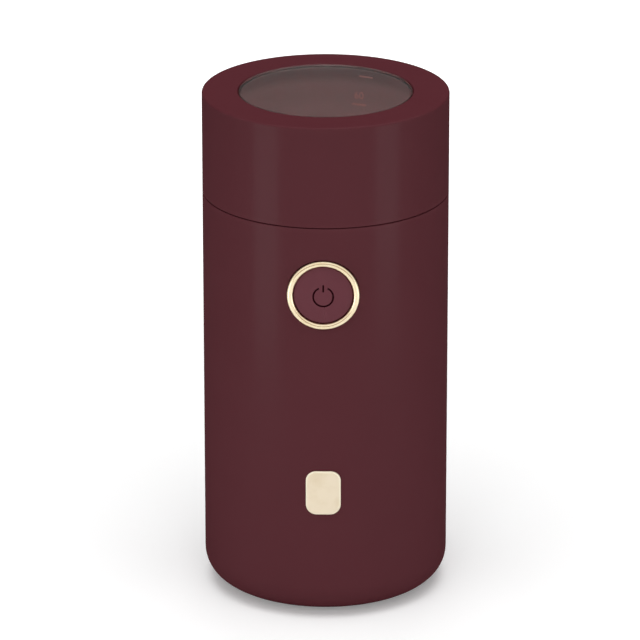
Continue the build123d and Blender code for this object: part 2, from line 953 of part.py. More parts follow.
def button_bezel():
    """Polished ring with a rounded crown, a flat seat and a sleeve through the wall."""
    crown_middle = (bezel_radius + bezel_inner) / 2
    shoulder = bezel_front + bezel_proud
    ring = turned(
        ThreePointArc(
            (bezel_inner, shoulder), (crown_middle, bezel_front), (bezel_radius, shoulder)
        ),
        Polyline(
            (bezel_radius, shoulder),
            (bezel_radius, bezel_seat),
            (sleeve_radius, bezel_seat),
            (sleeve_radius, sleeve_end - bezel_lead),
            (sleeve_radius - bezel_lead, sleeve_end),
            (bezel_inner, sleeve_end),
            (bezel_inner, shoulder),
        ),
    )
    return single(about_button(ring))


def power_button():
    """Hollow cap with a retaining flange and a post that works the switch."""
    inside = button_radius - button_skirt_wall
    edge_middle = (button_radius - button_edge_radius, button_front + button_edge_radius)
    cap = turned(
        Line((0, button_front), (edge_middle[0], button_front)),
        CenterArc(edge_middle, button_edge_radius, -90, 90),
        Polyline(
            (button_radius, edge_middle[1]),
            (button_radius, sleeve_end),
            (button_flange_radius, sleeve_end),
            (button_flange_radius, button_back),
            (inside, button_back),
            (inside, button_inside),
            (button_post_radius, button_inside),
            (button_post_radius, post_end),
            (0, post_end),
            (0, button_front),
        ),
    )
    return single(about_button(cap))


def button_spring():
    """Return spring between the cap and the switch bracket."""
    spring = coil_spring(
        button_spring_radius,
        button_spring_wire,
        bracket_front - button_inside - 2 * spring_end_gap,
        button_spring_turns,
    )
    return about_button(Pos(0, 0, button_inside + spring_end_gap) * spring)


def switch_bracket():
    """Plate screwed to the shell's ears, with lips that grip the switch."""
    low = button_middle - bracket_half_height
    plate = block(
        (-bracket_half_length, bracket_half_length),
        (bracket_front, bracket_back),
        (low, low + 2 * bracket_half_height),
    )
    half_switch = start_switch_width / 2 + press_gap
    lip_end = bracket_back + bracket_lip_length
    half_lip = start_switch_length / 2
    for side in (-1, 1):
        near, far = side * half_switch, side * (half_switch + bracket_lip)
        heights = (button_middle + min(near, far), button_middle + max(near, far))
        plate += block((-half_lip, half_lip), (bracket_back - bracket_thickness / 2, lip_end), heights)
        plate -= plug(
            screw_radius + slip,
            bracket_front - overrun,
            bracket_back + overrun,
            side * ear_place,
            button_middle,
        )
    plate -= plug(
        start_plunger_radius + slip,
        bracket_front - overrun,
        bracket_back + overrun,
        0,
        button_middle,
    )
    return single(plate)


def bracket_screws():
    """Two screws that hold the switch bracket to the shell's ears."""
    turned_screw = Rot(X=-90) * screw(bracket_thickness + bracket_screw_grip)
    return group(
        Pos(side * ear_place, bracket_back, button_middle) * turned_screw for side in (-1, 1)
    )


def start_switch():
    """Snap switch with a plunger well in front and three tabs behind."""
    half_length = start_switch_length / 2
    half_width = start_switch_width / 2
    body = block(
        (-half_length, half_length),
        (bracket_back, start_switch_back),
        (button_middle - half_width, button_middle + half_width),
    )
    for place in (-tab_pitch, 0, tab_pitch):
        body += block(
            (place - tab_thickness / 2, place + tab_thickness / 2),
            (start_switch_back - tab_length / 2, start_switch_back + tab_length),
            (button_middle - tab_width / 2, button_middle + tab_width / 2),
        )
    well_end = bracket_back + start_plunger_sunk + button_travel + plunger_well_gap
    body -= plug(
        start_plunger_radius + slide_gap, bracket_back - overrun, well_end, 0, button_middle
    )
    return single(body)


def start_plunger():
    """Pin of the start switch, against the button's post."""
    return single(
        plug(start_plunger_radius, post_end, bracket_back + start_plunger_sunk, 0, button_middle)
    )


# Lid interlock


def interlock_pin():
    """Pin that the lid's rib holds down, with a collar for its spring."""
    pin = column(pin_radius, pin_foot, pin_top)
    pin += column(pin_collar_radius, collar_under, collar_top)
    return single(Pos(0, pin_place, 0) * pin)


def interlock_spring():
    """Spring that lifts the pin when the lid comes off."""
    middle = (pin_radius + pin_collar_radius) / 2
    spring = coil_spring(
        middle, pin_spring_wire, pin_spring_length - 2 * spring_end_gap, pin_spring_turns
    )
    return Pos(0, pin_place, guide_top + spring_end_gap) * spring


def interlock_switch():
    """Small snap switch on the tower's shelf."""
    half_length = interlock_switch_length / 2
    half_width = interlock_switch_width / 2
    body = block(
        (-half_length, half_length),
        (interlock_place - half_width, interlock_place + half_width),
        (interlock_bottom, interlock_top),
    )
    well_low = interlock_top - interlock_plunger_sunk - plunger_well_gap
    well = interlock_plunger_radius + slide_gap
    return single(body - column(well, well_low, interlock_top + overrun, 0, interlock_place))


def interlock_plunger():
    """Pin of the interlock switch, under the interlock pin's foot."""
    low = interlock_top - interlock_plunger_sunk
    return single(column(interlock_plunger_radius, low, pin_foot, 0, interlock_place))


# Motor, fixed pieces


def motor_plate(half_length, width, low, high):
    """Bridge plate with round ends, along X."""
    return extrude(Pos(0, 0, low) * SlotOverall(2 * half_length, width), high - low)


def on_both(half_span, shape):
    """A shape made at the axis, set at both ends of a span along X."""
    return [Pos(side * half_span, 0, 0) * shape for side in (-1, 1)]


def upper_bracket():
    """Cast bridge over the stator that holds the upper bearing and the rubber bushes."""
    bearing_high = upper_bearing_low + bearing_length
    bridge = motor_plate(
        mount_half_span + bracket_plate_margin, bracket_plate_width, bracket_under, bracket_top
    )
    bridge += column(bearing_boss_radius, upper_bearing_low, bearing_high)
    bridge += on_both(bolt_half_span, column(column_radius, stack_top, bracket_top))
    bridge -= column(bearing_radius + press_gap, upper_bearing_low - overrun, bearing_high + overrun)
    pilot = column(bolt_radius + press_gap, stack_top - overrun, stack_top + bolt_grip + overrun)
    bush_hole = column(screw_radius + slip, bracket_under - overrun, bracket_top + overrun)
    bridge -= on_both(bolt_half_span, pilot)
    return single(bridge - on_both(mount_half_span, bush_hole))


def lower_bracket():
    """Moulded bridge under the stator that holds the lower bearing and the brush holders."""
    arm_start = commutator_radius + holder_start - brush_arm_lead
    arm_end = commutator_radius + holder_start + holder_length
    bridge = motor_plate(
        bolt_half_span + bracket_plate_margin, lower_plate_width, lower_under, lower_top
    )
    arm_width = (-brush_arm_half_width, brush_arm_half_width)
    bridge += block(arm_width, (-arm_end, arm_end), (lower_under, lower_top))
    bridge += column(bearing_boss_radius, lower_bearing_low, lower_bearing_high)
    bridge += on_both(bolt_half_span, column(column_radius, lower_under, stack_bottom))
    for side in (-1, 1):
        near, far = side * arm_start, side * arm_end
        bridge += block(
            arm_width, (min(near, far), max(near, far)), (lower_under, commutator_middle)
        )
    channel = holder_half + press_gap
    bridge -= block(
        (-channel, channel),
        (-arm_end - overrun, arm_end + overrun),
        (commutator_middle - holder_half, commutator_middle + overrun),
    )
    bridge -= column(
        bearing_radius + press_gap, lower_bearing_low - overrun, lower_bearing_high + overrun
    )
    bolt_hole = column(bolt_radius + slip, lower_under - overrun, stack_bottom + overrun)
    return single(bridge - on_both(bolt_half_span, bolt_hole))


def bearing(low):
    """Sleeve bearing."""
    return single(tube(bearing_radius, shaft_radius + running_gap, low, low + bearing_length))


def upper_bearing():
    return bearing(upper_bearing_low)


def lower_bearing():
    return bearing(lower_bearing_low)


def stator_core():
    """Laminated ring with two poles, coil windows and bolt holes."""
    shoe = stator_bore + shoe_thickness
    window_far = stator_depth / 2 - yoke_thickness
    profile = RectangleRounded(stator_width, stator_depth, stator_corner_radius) - Circle(stator_bore)
    window = Pos(pole_half_width + coil_window_width / 2, window_far / 2) * Rectangle(
        coil_window_width, window_far
    )
    window = window - Circle(shoe)
    for window_place in (window, mirror(window, Plane.YZ)):
        profile = profile - window_place - mirror(window_place, Plane.XZ)
    for side in (-1, 1):
        profile = profile - Pos(side * bolt_half_span, 0) * Circle(bolt_radius + slip)
    return single(extrude(Pos(0, 0, stack_bottom) * profile, stack_length))


def field_coils():
    """Two wound coils, one round each pole."""
    inner_half = pole_half_width + coil_clearance
    outer_half = pole_half_width + coil_window_width - coil_clearance
    inner_height = stack_length + 2 * coil_clearance
    outer_height = stack_length + 2 * coil_end_turn
    near = stator_bore + shoe_thickness + coil_clearance
    far = stator_depth / 2 - yoke_thickness - coil_clearance
    middle = (stack_bottom + stack_top) / 2
    ring = RectangleRounded(2 * outer_half, outer_height, coil_corner_radius)
    ring = ring - Rectangle(2 * inner_half, inner_height)
    coil = Pos(0, near, middle) * Rot(X=90) * extrude(ring, -(far - near))
    return group([coil, Rot(Z=180) * coil])


def motor_bolts():
    """Two long bolts that clamp the brackets on the stator."""
    length = stack_top + bolt_grip - lower_under
    bolt = column(bolt_head_radius, -bolt_head_height, 0) + column(bolt_radius, 0, length)
    return group(on_both(bolt_half_span, Pos(0, 0, lower_under) * bolt))


def mount_bushes():
    """Rubber bushes between the motor and the carrier."""
    bush = tube(mount_bush_radius, mount_bush_bore, bracket_top, bracket_top + mount_bush_thickness)
    return group(on_both(mount_half_span, bush))


def mount_screws():
    """Two screws that hang the motor on the carrier."""
    length = bracket_plate + mount_bush_thickness + mount_screw_grip
    upright = Pos(0, 0, bracket_under) * Rot(X=180) * screw(length)
    return group(on_both(mount_half_span, upright))


def both_brushes(shape):
    """A shape made along +Y at the commutator, and its twin along -Y."""
    raised = Pos(0, 0, commutator_middle) * shape
    return group([raised, Rot(Z=180) * raised])


def brush_holders():
    """Brass tubes that guide the brushes."""
    near = commutator_radius + holder_start
    far = near + holder_length
    inner = brush_size / 2 + brush_gap
    body = block((-holder_half, holder_half), (near, far), (-holder_half, holder_half))
    body -= block((-inner, inner), (near - overrun, far - holder_wall), (-inner, inner))
    return both_brushes(body)


def carbon_brushes():
    """Carbon blocks that press on the commutator."""
    near = commutator_radius + brush_gap
    half = brush_size / 2
    return both_brushes(block((-half, half), (near, near + brush_length), (-half, half)))


def brush_springs():
    """Springs behind the brushes, inside the holders."""
    near = commutator_radius + brush_gap + brush_length + spring_end_gap
    far = commutator_radius + holder_start + holder_length - holder_wall - spring_end_gap
    spring = coil_spring(brush_spring_radius, brush_spring_wire, far - near, brush_spring_turns)
    return both_brushes(Pos(0, near, 0) * Rot(X=-90) * spring)


# Motor, turning pieces


def motor_shaft():
    """Steel shaft from the fan up to the blade's thread."""
    return single(column(shaft_radius, shaft_low, blade_low) + column(
        thread_radius, blade_low, blade_high + thread_length
    ))


def rotor_slots(shrink):
    """Ring of winding slots, each shrunk by a clearance."""
    length = slot_outer_radius - slot_inner_radius - 2 * shrink
    slot = SlotOverall(length, slot_width - 2 * shrink)
    place = (slot_outer_radius + slot_inner_radius) / 2
    return [Rot(Z=angle) * Pos(place, 0) * slot for angle in evenly(slot_count)]


def rotor_core():
    """Laminated core with open slots."""
    profile = Circle(rotor_radius) - Circle(shaft_radius + press_gap)
    mouth_length = rotor_radius - slot_outer_radius + slot_width
    mouth = Pos(slot_outer_radius - slot_width / 2 + mouth_length / 2, 0) * Rectangle(
        mouth_length, slot_mouth
    )
    mouths = [Rot(Z=angle) * mouth for angle in evenly(slot_count)]
    profile = profile - rotor_slots(0) - mouths
    return single(extrude(Pos(0, 0, stack_bottom) * profile, stack_length))


def rotor_winding():
    """Copper bars in the slots, joined by a rounded bundle at each end."""
    low = stack_bottom - winding_overhang
    width = winding_outer_radius - winding_inner_radius
    end = Pos((winding_inner_radius + winding_outer_radius) / 2, 0) * RectangleRounded(
        width, winding_overhang - winding_gap, winding_corner_radius
    )
    bundle = revolve(Plane.XZ * end, Axis.Z)
    lift = (winding_overhang - winding_gap) / 2
    winding = Pos(0, 0, low + lift) * bundle + Pos(0, 0, stack_top + winding_overhang - lift) * bundle
    for slot in rotor_slots(winding_gap):
        winding += extrude(
            Pos(0, 0, stack_bottom - winding_overhang / 2) * slot, stack_length + winding_overhang
        )
    return single(winding)


def commutator():
    """Copper cylinder cut into bars, with a flange that the winding is tied to."""
    high = commutator_low + commutator_length
    body = column(commutator_radius, commutator_low, high)
    body += column(commutator_radius + commutator_flange, high - commutator_flange_length, high)
    body -= column(shaft_radius + press_gap, commutator_low - overrun, high + overrun)
    slit = block(
        (commutator_radius - commutator_slit_depth, commutator_radius + commutator_flange + overrun),
        (-commutator_slit_width / 2, commutator_slit_width / 2),
        (commutator_low - overrun, high + overrun),
    )
    return single(body - [Rot(Z=angle) * slit for angle in evenly(slot_count, 180 / slot_count)])


def cooling_fan():
    """Moulded fan with radial blades under a disc."""
    fan = column(fan_hub_radius, fan_low, fan_high) + column(fan_radius, fan_high - fan_disc, fan_high)
    vane = block(
        (shaft_radius * 2 - fan_blade_thickness, fan_radius),
        (-fan_blade_thickness / 2, fan_blade_thickness / 2),
        (fan_low, fan_high),
    )
    fan = fan + [Rot(Z=angle) * vane for angle in evenly(fan_blade_count)]
    return single(fan - column(shaft_radius + press_gap, fan_low - overrun, fan_high + overrun))


def blade():
    """Two winged steel blade with raised wings and ground leading edges."""
    reach = bowl_inner - blade_wall_gap
    rise = (reach - blade_hub_half) * sin(radians(blade_bend_angle))
    wing = [(blade_hub_half, blade_low), (reach, blade_low + rise)]
    upper = [(x, z + blade_thickness) for x, z in reversed(wing)]
    right = wing + upper
    left = [(-x, z) for x, z in reversed(right)]
    side = make_face(closed(*right, *left))
    bar = extrude(Plane.XZ * side, blade_width / 2, both=True)
    half, tip = blade_width / 2, blade_tip_width / 2
    plan = make_face(
        [
            Line((-blade_hub_half, half), (0, half)),
            ThreePointArc((0, half), (reach / 2, half - blade_edge_width / 2), (reach, tip)),
            Line((reach, tip), (reach - blade_edge_width, -half)),
            Line((reach - blade_edge_width, -half), (0, -half)),
            ThreePointArc((0, -half), (-reach / 2, blade_edge_width / 2 - half), (-reach, -tip)),
            Line((-reach, -tip), (blade_edge_width - reach, half)),
            Line((blade_edge_width - reach, half), (-blade_hub_half, half)),
        ]
    )
    body = bar & extrude(Pos(0, 0, blade_low - overrun) * plan, rise + blade_thickness + 2 * overrun)
    grind_length = reach - blade_hub_half
    bevel = make_face(
        closed(
            (-half - overrun, blade_thickness + overrun),
            (-half - overrun, blade_thickness - blade_edge_bevel),
            (-half, blade_thickness - blade_edge_bevel),
            (-half + blade_edge_width, blade_thickness),
            (-half + blade_edge_width, blade_thickness + overrun),
        )
    )
    ground = extrude(Plane.YZ * bevel, grind_length / cos(radians(blade_bend_angle)) + overrun)
    ground = Pos(blade_hub_half, 0, blade_low) * Rot(Y=-blade_bend_angle) * ground
    body = body - ground - Rot(Z=180) * ground
    return single(body - column(thread_radius + press_gap, blade_low - overrun, blade_high + overrun))


def blade_collar():
    """Ring pressed on the shaft, under the blade."""
    return single(tube(collar_radius, shaft_radius + press_gap, collar_low, blade_low))


def blade_nut():
    """Domed nut that clamps the blade on its collar."""
    hexagon = RegularPolygon(nut_across_flats / 2, 6, major_radius=False)
    nut = extrude(Pos(0, 0, blade_high) * hexagon, nut_hex_height)
    shoulder = blade_high + nut_hex_height
    crown = shoulder + nut_dome_height
    dome = turned(
        Line((0, shoulder), (nut_dome_radius, shoulder)),
        crown_arc(nut_dome_radius, shoulder, nut_dome_height),
        Line((0, crown), (0, shoulder)),
    )
    thread = column(thread_radius + press_gap, blade_high - overrun, blade_high + thread_length)
    return single(nut + dome - thread)


nodes = [
    body_shell,
    badge_plate,
    base_plate,
    rubber_feet,
    base_screws,
    cord_gland,
    circuit_board,
    board_screws,
    suppressor_capacitor,
    terminal_block,
    bowl_carrier,
    grinding_bowl,
    shaft_seal,
    lid_shell,
    lid_liner,
    lid_seal,
    button_bezel,
    power_button,
    button_spring,
    switch_bracket,
    bracket_screws,
    start_switch,
    start_plunger,
    interlock_pin,
    interlock_spring,
    interlock_switch,
    interlock_plunger,
    upper_bracket,
    lower_bracket,
    upper_bearing,
    lower_bearing,
    stator_core,
    field_coils,
    motor_bolts,
    mount_bushes,
    mount_screws,
    brush_holders,
    carbon_brushes,
    brush_springs,
    motor_shaft,
    rotor_core,
    rotor_winding,
    commutator,
    cooling_fan,
    blade,
    blade_collar,
    blade_nut,
]

os.makedirs("parts", exist_ok=True)
for make in nodes:
    export_step(make(), f"parts/{make.__name__}.step")
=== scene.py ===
from math import cos, radians, sin, tau

import bmesh
import bpy
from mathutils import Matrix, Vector


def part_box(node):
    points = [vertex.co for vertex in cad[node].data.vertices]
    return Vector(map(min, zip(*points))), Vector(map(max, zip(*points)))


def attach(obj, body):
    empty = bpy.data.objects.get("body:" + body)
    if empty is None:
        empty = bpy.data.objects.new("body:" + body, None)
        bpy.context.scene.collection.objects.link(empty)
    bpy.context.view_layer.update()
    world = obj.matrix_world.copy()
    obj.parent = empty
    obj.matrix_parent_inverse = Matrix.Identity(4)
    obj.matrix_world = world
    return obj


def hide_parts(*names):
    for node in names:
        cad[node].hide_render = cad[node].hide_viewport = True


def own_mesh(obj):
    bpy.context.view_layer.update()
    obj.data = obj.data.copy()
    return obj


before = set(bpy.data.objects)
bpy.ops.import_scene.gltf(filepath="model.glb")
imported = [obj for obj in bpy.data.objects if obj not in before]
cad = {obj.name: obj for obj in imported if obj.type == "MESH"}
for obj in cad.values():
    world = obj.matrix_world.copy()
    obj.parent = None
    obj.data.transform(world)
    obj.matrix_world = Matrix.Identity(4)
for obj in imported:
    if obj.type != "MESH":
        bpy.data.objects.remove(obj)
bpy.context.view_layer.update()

# Body shell: the tall burgundy cup that everything goes into, with a rounded foot.
# One plastic moulding with a thin soft-touch coat, which has a fine even grain and
# is a little smoother where hands rub it, along the rim at the seam and on the foot.
MM = 0.001


class Socket:
    """One socket of a node tree, so that node maths reads as an expression."""

    def __init__(self, tree, socket=None):
        self.tree = tree
        self.socket = socket

    def node(self, kind, settings=None, inputs=None, output=0):
        """Adds a node: first its settings, then the values or links of its sockets."""
        made = self.tree.nodes.new(kind)
        for name, value in (settings or {}).items():
            setattr(made, name, value)
        for name, value in (inputs or {}).items():
            for one in value if isinstance(value, list) else [value]:
                if isinstance(one, Socket):
                    self.tree.links.new(one.socket, made.inputs[name])
                else:
                    made.inputs[name].default_value = one
        return Socket(self.tree, made.outputs[output] if made.outputs else None)

    def out(self, name):
        """Another output of the node that this socket belongs to."""
        return Socket(self.tree, self.socket.node.outputs[name])

    def split(self):
        """The X, Y and Z of a vector."""
        parts = self.node("ShaderNodeSeparateXYZ", None, {0: self})
        return parts.out("X"), parts.out("Y"), parts.out("Z")

    def join(self, **parts):
        """A vector from any of its X, Y and Z."""
        return self.node("ShaderNodeCombineXYZ", None, parts)

    def maths(self, operation, *others):
        """A Math node that takes this socket first."""
        values = dict(enumerate((self, *others)))
        return self.node("ShaderNodeMath", {"operation": operation}, values)

    def __add__(self, other):
        return self.maths("ADD", other)

    def __sub__(self, other):
        return self.maths("SUBTRACT", other)

    def __rsub__(self, other):
        return self.node("ShaderNodeMath", {"operation": "SUBTRACT"}, {0: other, 1: self})

    def __mul__(self, other):
        return self.maths("MULTIPLY", other)

    def __truediv__(self, other):
        return self.maths("DIVIDE", other)

    __radd__ = __add__
    __rmul__ = __mul__

    def between(self, low, high):
        """Smooth mask that goes from 0 at low to 1 at high."""
        return self.node(
            "ShaderNodeMapRange",
            {"interpolation_type": "SMOOTHSTEP"},
            {"Value": self, "From Min": low, "From Max": high},
        )

    def blend(self, first, second):
        """Mix of two colours by this mask."""
        return self.node("ShaderNodeMix", {"data_type": "RGBA"}, {0: self, 6: first, 7: second}, 2)

    def noise(self, place, scale, detail=2.0):
        """Cloudy mask with this many lumps to the metre."""
        values = {"Vector": place, "Scale": scale, "Detail": detail}
        return self.node("ShaderNodeTexNoise", None, values)


def swatch(red, green, blue):
    """Colour chip in screen values, as the renderer's linear colour."""
    toe, gamma = 0.055, 2.4
    linear = [((level / 255 + toe) / (1 + toe)) ** gamma for level in (red, green, blue)]
    return (*linear, 1.0)


def finish(name, fixed, recipe):
    """Material: fixed values on its shader, and a recipe for what changes over the surface."""
    material = bpy.data.materials.new(name)
    material.use_nodes = True
    tree = material.node_tree
    shader = tree.nodes["Principled BSDF"]
    for label, value in fixed.items():
        shader.inputs[label].default_value = value
    start = Socket(tree)
    place = start.node("ShaderNodeTexCoord").out("Object")
    for label, value in recipe(start, place).items():
        if label == "Relief":
            height, depth = value
            label = "Normal"
            value = start.node("ShaderNodeBump", None, {"Height": height, "Distance": depth})
        tree.links.new(value.socket, shader.inputs[label])
    return material


def dress(material, *names):
    """Gives CAD nodes their material."""
    for name in names:
        slots = cad[name].data.materials
        slots.clear()
        slots.append(material)


def soft_touch(base, worn, edges):
    """Coated plastic: cloudy colour, fine grain, and polish near some heights."""

    def recipe(start, place):
        cloud = start.noise(place, scale=42.0, detail=4.0)
        grain = start.noise(place, scale=3600.0)
        rub = start.noise(place, scale=160.0, detail=5.0)
        height = place.split()[2]
        polish = 0.0
        for edge in edges:
            away = (height - edge).maths("ABSOLUTE")
            polish = (1.0 - away.between(rub_core, rub_reach)) * rub + polish
        return {
            "Base Color": (cloud * 0.5 + polish * 0.35).blend(base, worn),
            "Roughness": 0.5 + cloud * 0.08 - polish * 0.1,
            "Relief": (grain, grain_depth),
        }

    return recipe


grain_depth = 0.012 * MM
rub_core = 0.2 * MM
rub_reach = 2.4 * MM
foot_edge = 1.5 * MM
body_rim = 160.0 * MM
lid_rim = 160.3 * MM
lid_edge = 200.0 * MM
burgundy = finish(
    "burgundy_coat",
    {"Specular IOR Level": 0.0, "Coat Weight": 0.019, "Coat IOR": 4.0, "Coat Roughness": 0.2},
    soft_touch(swatch(82, 38, 44), swatch(88, 43, 49), (body_rim, lid_rim, lid_edge, foot_edge)),
)
dress(burgundy, "body_shell", "lid_shell")

# Stator and its brackets: a stack of electrical steel sheets between a cast aluminium
# bridge above and a black moulded bridge below, clamped by two long zinc plated bolts.


def sheet_stack(start, place):
    sheet_thickness = 0.5 * MM
    line = (place.split()[2] * (tau / sheet_thickness)).maths("SINE")
    stain = start.noise(place, scale=260.0, detail=6.0)
    return {
        "Base Color": stain.between(0.35, 0.75).blend(swatch(96, 98, 102), swatch(128, 118, 108)),
        "Roughness": 0.38 + stain * 0.25,
        "Relief": (line * 0.5 + stain, 0.05 * MM),
    }


def cast_skin(start, place):
    coarse = start.noise(place, scale=900.0, detail=6.0)
    cloud = start.noise(place, scale=120.0, detail=3.0)
    return {
        "Base Color": cloud.blend(swatch(186, 187, 188), swatch(212, 212, 211)),
        "Roughness": 0.42 + coarse * 0.25,
        "Relief": (coarse, 0.06 * MM),
    }


def spark_texture(colour, worn, scale, depth, roughness):
    """Eroded mould texture on a plain plastic."""

    def recipe(start, place):
        pits = start.node("ShaderNodeTexVoronoi", None, {"Vector": place, "Scale": scale})
        cloud = start.noise(place, scale=70.0, detail=4.0)
        return {
            "Base Color": cloud.between(0.4, 0.7).blend(colour, worn),
            "Roughness": roughness + pits * 0.2 + cloud * 0.08,
            "Relief": (pits, depth),
        }

    return recipe


def streaks(start, place, grain, detail=3.0):
    """Noise with its own scale along each axis, as brushing or drawing leaves it."""
    drawn = start.node("ShaderNodeMapping", None, {"Vector": place, "Scale": grain})
    return start.noise(drawn, scale=1.0, detail=detail)


def plated(colour, tarnish, grain, roughness):
    """Bright metal with fine streaks and a light tarnish."""

    def recipe(start, place):
        lines = streaks(start, place, grain)
        spots = start.noise(place, scale=340.0, detail=5.0)
        return {
            "Base Color": spots.between(0.45, 0.8).blend(colour, tarnish),
            "Roughness": roughness + lines * 0.16 + spots * 0.08,
            "Relief": (lines, 0.008 * MM),
        }

    return recipe


lamination = finish("steel_sheets", {"Metallic": 1.0}, sheet_stack)
aluminium = finish("cast_aluminium", {"Metallic": 1.0}, cast_skin)
black_plastic = finish(
    "black_moulding",
    {"Specular IOR Level": 0.4},
    spark_texture(
        swatch(30, 29, 30), swatch(38, 37, 38), scale=2600.0, depth=0.03 * MM, roughness=0.4
    ),
)
zinc = finish(
    "zinc_plating",
    {"Metallic": 1.0},
    plated(swatch(198, 200, 204), swatch(176, 176, 170), grain=(900.0, 900.0, 5200.0), roughness=0.2),
)
dress(lamination, "stator_core", "rotor_core")
dress(aluminium, "upper_bracket")
dress(black_plastic, "lower_bracket")
dress(zinc, "motor_bolts")

# Field coils: enamelled copper wire wound in even layers round each pole of the stator,
# and pushed over the poles before the brackets go on.


def put(name, data):
    """New object in the scene, at the origin."""
    made = bpy.data.objects.new(name, data)
    bpy.context.scene.collection.objects.link(made)
    return made


def plain_mesh(made):
    """Mesh of an object with its modifiers or its text applied."""
    bpy.context.view_layer.update()
    depsgraph = bpy.context.evaluated_depsgraph_get()
    return bpy.data.meshes.new_from_object(made.evaluated_get(depsgraph))


def node_mesh(name, sizes, build, material):
    """Object with a plain mesh, in one material, from a geometry node tree with these named sizes."""
    tree = bpy.data.node_groups.new(name, "GeometryNodeTree")
    tree.interface.new_socket("Geometry", in_out="OUTPUT", socket_type="NodeSocketGeometry")
    kinds = {int: "NodeSocketInt", float: "NodeSocketFloat"}
    labels = {
        label: tree.interface.new_socket(label, in_out="INPUT", socket_type=kinds[type(value)])
        for label, value in sizes.items()
    }
    start = Socket(tree)
    entry = start.node("NodeGroupInput")
    shape = build(start, {label: entry.out(label) for label in sizes})
    shape = start.node("GeometryNodeRealizeInstances", None, {0: shape})
    shape = start.node("GeometryNodeSetMaterial", None, {"Geometry": shape, "Material": material})
    start.node("NodeGroupOutput", None, {0: shape})
    made = put(name, bpy.data.meshes.new(name))
    modifier = made.modifiers.new(name, "NODES")
    modifier.node_group = tree
    for label, value in sizes.items():
        modifier[labels[label].identifier] = value
    mesh = plain_mesh(made)
    made.modifiers.remove(modifier)
    made.data = mesh
    return made


def round_wire(start, path, sides, radius, ends=False):
    """Round wire of this radius along a path, with closed or open ends."""
    section = start.node(
        "GeometryNodeCurvePrimitiveCircle", None, {"Resolution": sides, "Radius": radius}
    )
    return start.node(
        "GeometryNodeCurveToMesh", None, {"Curve": path, "Profile Curve": section, "Fill Caps": ends}
    )


def enamel(start, place):
    cloud = start.noise(place, scale=420.0, detail=4.0)
    return {
        "Base Color": cloud.between(0.3, 0.75).blend(swatch(176, 92, 48), swatch(208, 126, 72)),
        "Roughness": 0.24 + cloud * 0.16,
    }


copper_wire = finish(
    "enamelled_wire", {"Metallic": 1.0, "Coat Weight": 0.6, "Coat Roughness": 0.12}, enamel
)


def wound_pair(start, size):
    loop = start.node(
        "GeometryNodeCurvePrimitiveQuadrilateral",
        None,
        {"Width": size["Width"], "Height": size["Height"]},
    )
    loop = start.node(
        "GeometryNodeFilletCurve",
        {"mode": "POLY"},
        {"Curve": loop, "Count": 5, "Radius": size["Corner"]},
    )
    copies = start.node(
        "GeometryNodeDuplicateElements",
        {"domain": "SPLINE"},
        {"Geometry": loop, "Amount": size["Layers"] * size["Turns"]},
    )
    number = copies.out("Duplicate Index")
    layer = (number / size["Turns"]).maths("FLOOR")
    turn = number - layer * size["Turns"]
    heading = start.node("GeometryNodeInputTangent")
    aside = start.node(
        "ShaderNodeVectorMath", {"operation": "CROSS_PRODUCT"}, {0: heading, 1: (0.0, 0.0, 1.0)}
    )
    aside = start.node(
        "ShaderNodeVectorMath", {"operation": "SCALE"}, {0: aside, "Scale": layer * size["Pitch"]}
    )
    along = start.join(Z=turn * size["Pitch"])
    offset = start.node("ShaderNodeVectorMath", {"operation": "ADD"}, {0: aside, 1: along})
    turns = start.node("GeometryNodeSetPosition", None, {"Geometry": copies, "Offset": offset})
    wires = round_wire(start, turns, sides=6, radius=size["Wire"])
    upright = start.node(
        "GeometryNodeTransform", None, {"Geometry": wires, "Rotation": (radians(90), 0.0, 0.0)}
    )
    lift = start.join(Y=size["Far"], Z=size["Middle"])
    front = start.node("GeometryNodeTransform", None, {"Geometry": upright, "Translation": lift})
    back = start.node(
        "GeometryNodeTransform", None, {"Geometry": front, "Rotation": (0.0, 0.0, radians(180))}
    )
    return start.node("GeometryNodeJoinGeometry", None, {0: [front, back]})


coil_low, coil_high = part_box("field_coils")
wire_pitch = 0.6 * MM
coil_layers = 9
coil_turns = 6
coil_depth = (coil_layers - 0.5) * wire_pitch
coils = node_mesh(
    "wound_field_coils",
    {
        "Width": 2 * (coil_high.x - coil_depth),
        "Height": coil_high.z - coil_low.z - 2 * coil_depth,
        "Corner": 0.4 * MM,
        "Layers": coil_layers,
        "Turns": coil_turns,
        "Pitch": wire_pitch,
        "Wire": 0.29 * MM,
        "Far": coil_high.y - wire_pitch / 2,
        "Middle": (coil_low.z + coil_high.z) / 2,
    },
    wound_pair,
    copper_wire,
)
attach(coils, "grinder_body")
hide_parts("field_coils")

# Bearings, brush holders and brushes: oil filled sintered bronze sleeves pressed into both
# bridges, folded brass tubes that lie in the lower one, and the carbon blocks and springs in them.


def sintered(start, place):
    pores = start.node("ShaderNodeTexVoronoi", None, {"Vector": place, "Scale": 4200.0})
    cloud = start.noise(place, scale=220.0, detail=4.0)
    return {
        "Base Color": cloud.blend(swatch(150, 112, 64), swatch(184, 146, 92)),
        "Roughness": 0.34 + pores * 0.3,
        "Relief": (pores, 0.03 * MM),
    }


def pressed_carbon(start, place):
    grit = start.noise(place, scale=3200.0, detail=3.0)
    return {
        "Base Color": grit.between(0.4, 0.75).blend(swatch(34, 34, 36), swatch(62, 62, 64)),
        "Roughness": 0.55 + grit * 0.2,
        "Relief": (grit, 0.04 * MM),
    }


bronze = finish("sintered_bronze", {"Metallic": 1.0}, sintered)
carbon = finish("pressed_carbon", {"Specular IOR Level": 0.3}, pressed_carbon)
dress(bronze, "upper_bearing", "lower_bearing", "brush_holders")
dress(carbon, "carbon_brushes")
dress(zinc, "brush_springs")

